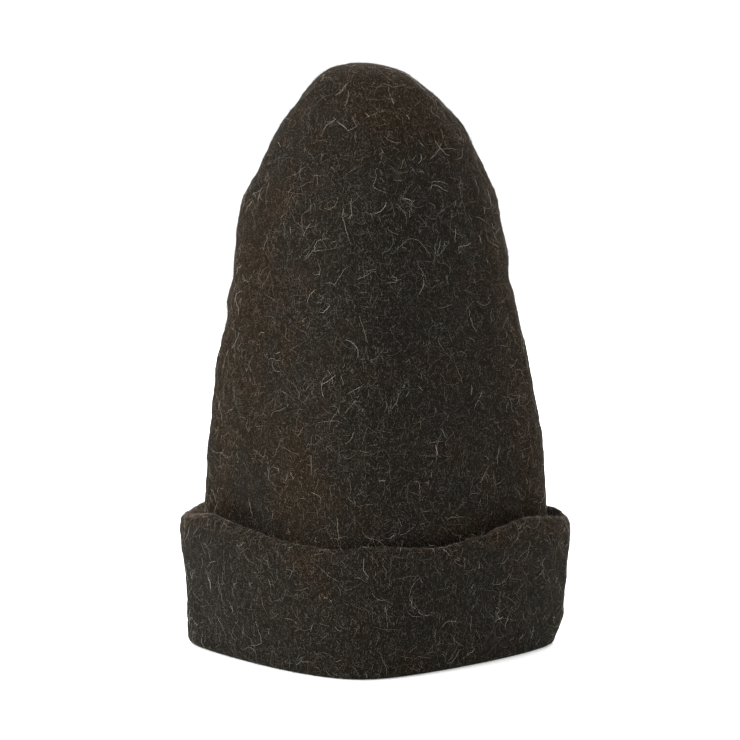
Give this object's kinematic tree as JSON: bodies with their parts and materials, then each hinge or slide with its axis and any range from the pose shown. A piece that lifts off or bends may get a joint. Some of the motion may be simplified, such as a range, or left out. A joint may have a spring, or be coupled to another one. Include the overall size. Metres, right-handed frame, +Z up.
{
  "type": "kalpak felt hat",
  "caption": "Tall soft felt hat with a rounded crown and a deep turned-up cuff, open underneath for the head.",
  "frame": {"origin": "middle of the hat's foot, on the surface it stands on", "axes": "+Z up along the crown, -Y towards the front as pictured, X across the hat"},
  "size_m": [0.2338, 0.2132, 0.347],
  "materials": {
    "wool_felt": "matt hand-made wool felt, dark undyed brown, with paler loose hairs"
  },
  "bodies": {
    "root": {"felt_hat": "wool_felt"}
  },
  "joints": []
}
